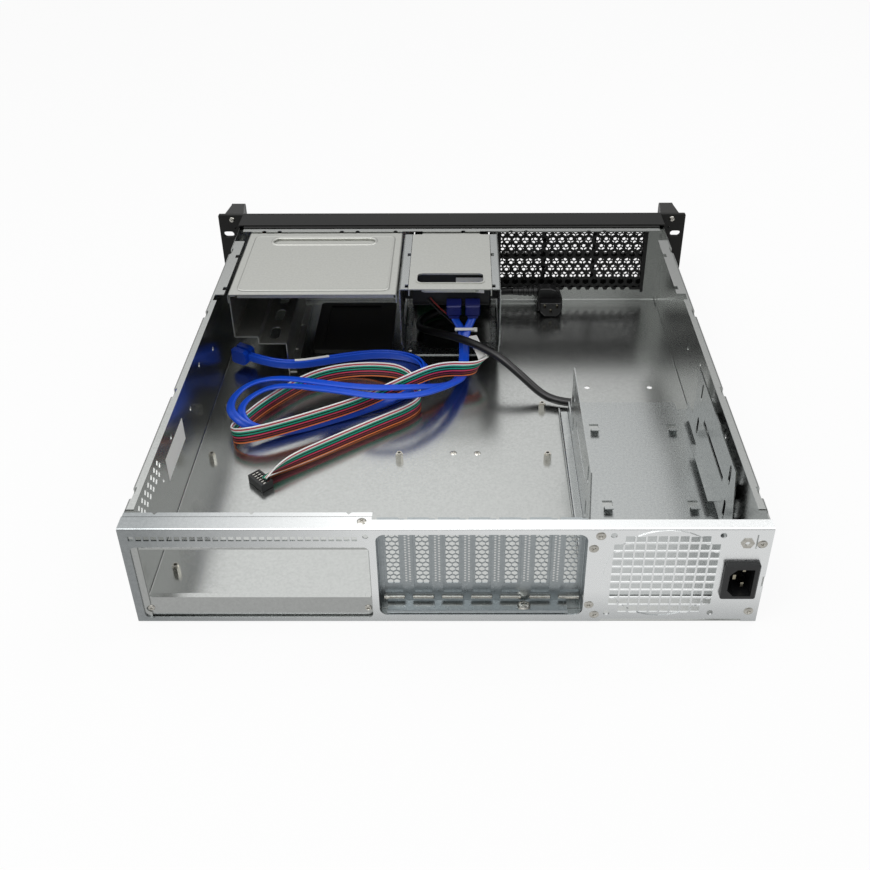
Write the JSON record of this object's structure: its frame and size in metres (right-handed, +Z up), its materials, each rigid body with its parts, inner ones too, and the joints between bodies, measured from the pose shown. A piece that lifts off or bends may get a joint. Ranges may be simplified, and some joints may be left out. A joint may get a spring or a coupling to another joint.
{
  "type": "rackmount server case",
  "caption": "Empty open rack case with a vented rear panel, recessed expansion slots, power supply cradle, drive bays and a black front with two bow handles.",
  "frame": {"origin": "middle of the tub's underside, halfway between the rear panel and the inner front wall", "axes": "+X to the right seen from behind, +Y from the rear panel to the front handles, +Z up"},
  "size_m": [0.4826, 0.5141, 0.0881],
  "materials": {
    "zinc_steel": "zinc plated, semi bright",
    "cover_steel": "zinc plated, satin",
    "screw_steel": "bright",
    "standoff_steel": "plated",
    "inlet_plastic": "satin",
    "pin_brass": "plated",
    "black_paint": "fine texture powder coat",
    "handle_metal": "satin",
    "button_plastic": "satin",
    "board_green": "satin",
    "lens_plastic": "frosted",
    "black_plastic": "matte",
    "cable_rubber": "satin",
    "label_paper": "matte",
    "blue_pvc": "satin",
    "blue_plastic": "matte",
    "ribbon_pvc": "satin, striped",
    "earth_pvc": "satin",
    "wire_pvc": "satin",
    "white_sleeve": "satin"
  },
  "bodies": {
    "case": {"chassis_tub": "zinc_steel", "rear_panel": "zinc_steel", "io_window_frame": "zinc_steel", "slot_frame": "zinc_steel", "psu_cradle": "zinc_steel", "front_wall": "zinc_steel", "optical_cover": "zinc_steel", "optical_bracket": "zinc_steel", "bay_tray": "zinc_steel", "drive_cage": "zinc_steel", "cage_top_plate": "zinc_steel", "slot_cover_1": "cover_steel", "slot_cover_2": "cover_steel", "slot_cover_3": "cover_steel", "slot_cover_4": "cover_steel", "slot_cover_5": "cover_steel", "slot_cover_6": "cover_steel", "slot_cover_7": "cover_steel", "slot_cover_screws": "screw_steel", "rear_screws": "screw_steel", "ledge_screw": "screw_steel", "cage_screws": "screw_steel", "handle_screws": "screw_steel", "earth_stud": "screw_steel", "board_standoffs": "standoff_steel", "inlet_housing": "inlet_plastic", "inlet_pins": "pin_brass", "front_plate": "black_paint", "bezel_frame": "black_paint", "bezel_mesh": "black_paint", "wall_mesh": "black_paint", "handle_left": "handle_metal", "handle_right": "handle_metal", "control_board": "board_green", "lamp_lenses": "lens_plastic", "bay_blank": "black_plastic", "dock_housing": "black_plastic", "ribbon_header": "black_plastic", "mains_lead": "cable_rubber", "mains_plug": "cable_rubber", "dock_label": "label_paper", "side_label": "label_paper", "sata_lead_a": "blue_pvc", "sata_lead_b": "blue_pvc", "sata_plug_dock_a": "blue_plastic", "sata_plug_dock_b": "blue_plastic", "sata_plug_free_a": "blue_plastic", "sata_plug_free_b": "blue_plastic", "ribbon_lead": "ribbon_pvc", "earth_wire": "earth_pvc", "dock_wires": "wire_pvc", "sata_band": "white_sleeve", "ribbon_sleeve": "white_sleeve", "zip_tie": "white_sleeve"},
    "power_button": {"power_button": "button_plastic"},
    "reset_button": {"reset_button": "button_plastic"}
  },
  "joints": [
    {"name": "power_press", "type": "slide", "parent": "case", "child": "power_button", "axis": [0, -1, 0], "range_m": [0, 0.0025], "stiffness_N_per_m": 400, "springref_m": -0.001},
    {"name": "reset_press", "type": "slide", "parent": "case", "child": "reset_button", "axis": [0, -1, 0], "range_m": [0, 0.0015], "stiffness_N_per_m": 300, "springref_m": -0.001}
  ]
}
